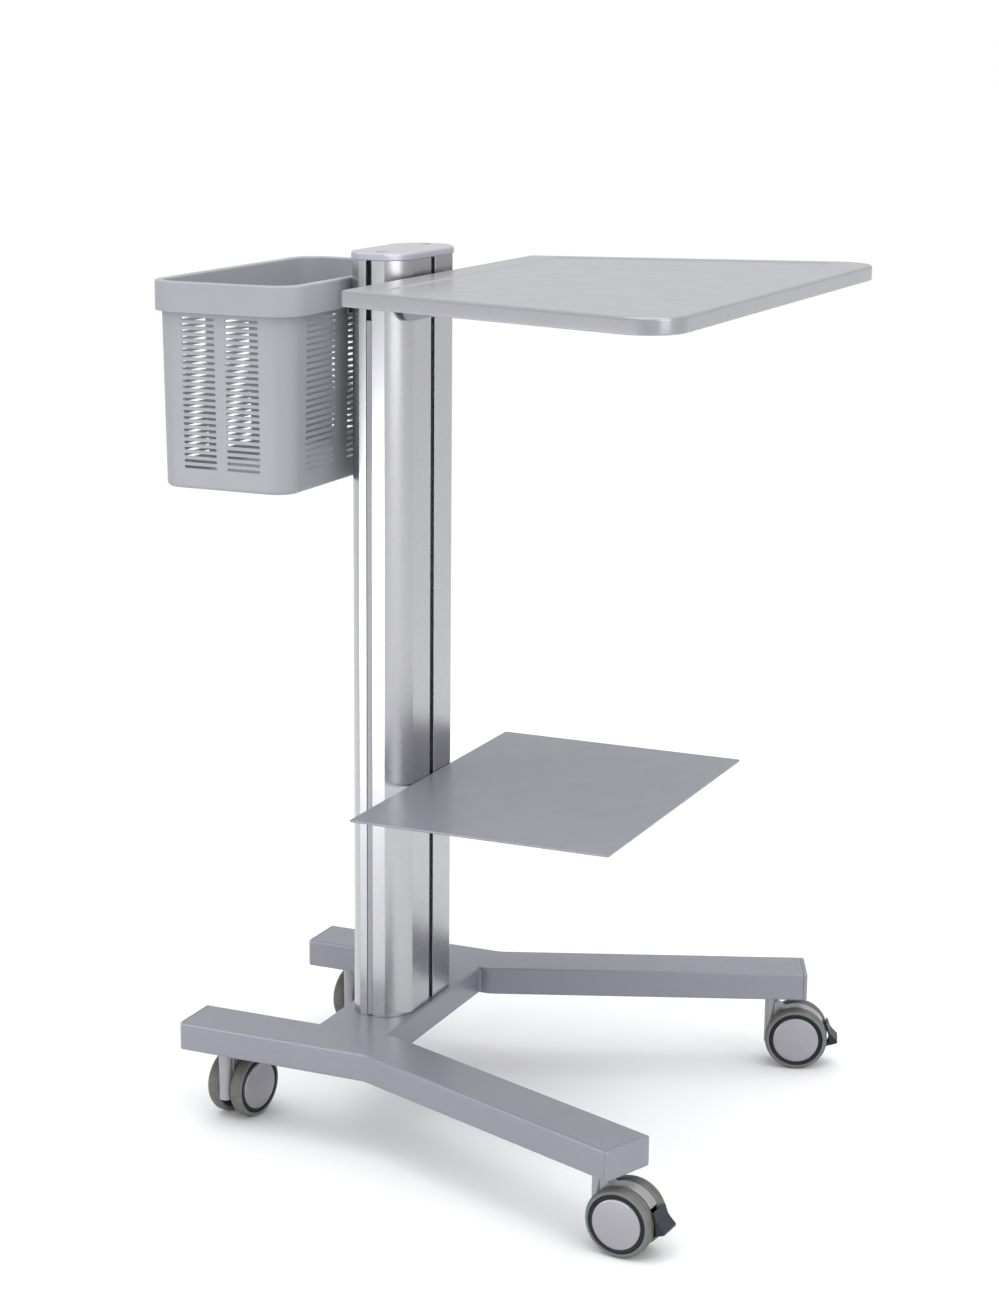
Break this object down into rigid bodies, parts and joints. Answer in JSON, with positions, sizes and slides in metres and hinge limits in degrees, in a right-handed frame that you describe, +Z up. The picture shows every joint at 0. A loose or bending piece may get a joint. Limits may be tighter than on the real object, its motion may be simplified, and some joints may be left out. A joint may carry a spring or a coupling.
{
  "type": "mobile printer stand",
  "caption": "Wheeled stand with a splayed steel base, extruded column, laptop tray, printer shelf and slotted basket behind.",
  "frame": {"origin": "middle of the floor area that the stand covers, on the floor", "axes": "+Z up; -Y towards the person using it; +X to that person's right"},
  "size_m": [0.6918, 0.6655, 0.9901],
  "materials": {
    "silver_grey_paint": "satin powder coat, silver grey",
    "aluminium": "satin anodised extrusion",
    "tray_silver": "silver lacquer on moulded plastic",
    "basket_plastic": "fine moulded texture",
    "zinc_steel": "zinc plated",
    "caster_silver": "silver moulded plastic",
    "core_plastic": "dark moulded plastic",
    "grey_tyre": "soft grey tread",
    "pedal_plastic": "dark moulded plastic"
  },
  "bodies": {
    "base": {"basket_hanger": "silver_grey_paint", "cable_clip_lower": "basket_plastic", "cable_clip_upper": "basket_plastic", "column": "aluminium", "column_cap": "caster_silver", "column_foot": "zinc_steel", "cross_member": "silver_grey_paint", "front_left_caster_stem": "zinc_steel", "front_right_caster_stem": "zinc_steel", "leg_left": "silver_grey_paint", "leg_left_front_cap": "silver_grey_paint", "leg_left_rear_cap": "silver_grey_paint", "leg_right": "silver_grey_paint", "leg_right_front_cap": "silver_grey_paint", "leg_right_rear_cap": "silver_grey_paint", "rear_left_caster_stem": "zinc_steel", "rear_right_caster_stem": "zinc_steel"},
    "tray_carriage": {"tray": "tray_silver", "tray_bracket": "silver_grey_paint", "tray_screw_upper": "zinc_steel", "tray_screw_lower": "zinc_steel"},
    "shelf_carriage": {"printer_shelf": "silver_grey_paint", "shelf_bracket": "silver_grey_paint", "shelf_screw_upper": "zinc_steel", "shelf_screw_lower": "zinc_steel"},
    "basket_lift": {"basket": "basket_plastic"},
    "front_left_caster": {"front_left_caster_hood": "caster_silver", "front_left_caster_axle": "zinc_steel"},
    "front_left_wheel_a": {"front_left_wheel_a_core": "core_plastic", "front_left_wheel_a_tyre": "grey_tyre", "front_left_wheel_a_hub_cap": "caster_silver"},
    "front_left_wheel_b": {"front_left_wheel_b_core": "core_plastic", "front_left_wheel_b_tyre": "grey_tyre", "front_left_wheel_b_hub_cap": "caster_silver"},
    "front_left_pedal": {"front_left_brake_pedal": "pedal_plastic"},
    "front_right_caster": {"front_right_caster_hood": "caster_silver", "front_right_caster_axle": "zinc_steel"},
    "front_right_wheel_a": {"front_right_wheel_a_core": "core_plastic", "front_right_wheel_a_tyre": "grey_tyre", "front_right_wheel_a_hub_cap": "caster_silver"},
    "front_right_wheel_b": {"front_right_wheel_b_core": "core_plastic", "front_right_wheel_b_tyre": "grey_tyre", "front_right_wheel_b_hub_cap": "caster_silver"},
    "front_right_pedal": {"front_right_brake_pedal": "pedal_plastic"},
    "rear_left_caster": {"rear_left_caster_hood": "caster_silver", "rear_left_caster_axle": "zinc_steel"},
    "rear_left_wheel_a": {"rear_left_wheel_a_core": "core_plastic", "rear_left_wheel_a_tyre": "grey_tyre", "rear_left_wheel_a_hub_cap": "caster_silver"},
    "rear_left_wheel_b": {"rear_left_wheel_b_core": "core_plastic", "rear_left_wheel_b_tyre": "grey_tyre", "rear_left_wheel_b_hub_cap": "caster_silver"},
    "rear_right_caster": {"rear_right_caster_hood": "caster_silver", "rear_right_caster_axle": "zinc_steel"},
    "rear_right_wheel_a": {"rear_right_wheel_a_core": "core_plastic", "rear_right_wheel_a_tyre": "grey_tyre", "rear_right_wheel_a_hub_cap": "caster_silver"},
    "rear_right_wheel_b": {"rear_right_wheel_b_core": "core_plastic", "rear_right_wheel_b_tyre": "grey_tyre", "rear_right_wheel_b_hub_cap": "caster_silver"}
  },
  "joints": [
    {"name": "tray_height", "type": "slide", "parent": "base", "child": "tray_carriage", "axis": [0, 0, 1], "range_m": [-0.22, 0]},
    {"name": "shelf_height", "type": "slide", "parent": "base", "child": "shelf_carriage", "axis": [0, 0, 1], "range_m": [-0.14, 0.25]},
    {"name": "basket_lift_off", "type": "slide", "parent": "base", "child": "basket_lift", "axis": [0, 0, 1], "range_m": [0, 0.05]},
    {"name": "front_left_swivel", "type": "hinge", "parent": "base", "child": "front_left_caster", "pos_m": [-0.28178, -0.25025, 0.06], "axis": [0, 0, 1], "continuous": true},
    {"name": "front_left_wheel_a_spin", "type": "hinge", "parent": "front_left_caster", "child": "front_left_wheel_a", "pos_m": [-0.28395, -0.28117, 0.0375], "axis": [0.9976, -0.0698, 0], "continuous": true},
    {"name": "front_left_wheel_b_spin", "type": "hinge", "parent": "front_left_caster", "child": "front_left_wheel_b", "pos_m": [-0.28395, -0.28117, 0.0375], "axis": [0.9976, -0.0698, 0], "continuous": true},
    {"name": "front_left_pedal_press", "type": "hinge", "parent": "front_left_caster", "child": "front_left_pedal", "pos_m": [-0.28559, -0.30461, 0.0415], "axis": [0.9976, -0.0698, 0], "range_deg": [0, 10]},
    {"name": "front_right_swivel", "type": "hinge", "parent": "base", "child": "front_right_caster", "pos_m": [0.28178, -0.25025, 0.06], "axis": [0, 0, 1], "continuous": true},
    {"name": "front_right_wheel_a_spin", "type": "hinge", "parent": "front_right_caster", "child": "front_right_wheel_a", "pos_m": [0.29085, -0.27989, 0.0375], "axis": [0.9563, 0.2924, 0], "continuous": true},
    {"name": "front_right_wheel_b_spin", "type": "hinge", "parent": "front_right_caster", "child": "front_right_wheel_b", "pos_m": [0.29085, -0.27989, 0.0375], "axis": [0.9563, 0.2924, 0], "continuous": true},
    {"name": "front_right_pedal_press", "type": "hinge", "parent": "front_right_caster", "child": "front_right_pedal", "pos_m": [0.29772, -0.30236, 0.0415], "axis": [0.9563, 0.2924, 0], "range_deg": [0, 10]},
    {"name": "rear_left_swivel", "type": "hinge", "parent": "base", "child": "rear_left_caster", "pos_m": [-0.1575, 0.2592, 0.06], "axis": [0, 0, 1], "continuous": true},
    {"name": "rear_left_wheel_a_spin", "type": "hinge", "parent": "rear_left_caster", "child": "rear_left_wheel_a", "pos_m": [-0.12697, 0.25382, 0.0375], "axis": [0.1736, 0.9848, 0], "continuous": true},
    {"name": "rear_left_wheel_b_spin", "type": "hinge", "parent": "rear_left_caster", "child": "rear_left_wheel_b", "pos_m": [-0.12697, 0.25382, 0.0375], "axis": [0.1736, 0.9848, 0], "continuous": true},
    {"name": "rear_right_swivel", "type": "hinge", "parent": "base", "child": "rear_right_caster", "pos_m": [0.1575, 0.2592, 0.06], "axis": [0, 0, 1], "continuous": true},
    {"name": "rear_right_wheel_a_spin", "type": "hinge", "parent": "rear_right_caster", "child": "rear_right_wheel_a", "pos_m": [0.18803, 0.25382, 0.0375], "axis": [0.1736, 0.9848, 0], "continuous": true},
    {"name": "rear_right_wheel_b_spin", "type": "hinge", "parent": "rear_right_caster", "child": "rear_right_wheel_b", "pos_m": [0.18803, 0.25382, 0.0375], "axis": [0.1736, 0.9848, 0], "continuous": true}
  ]
}
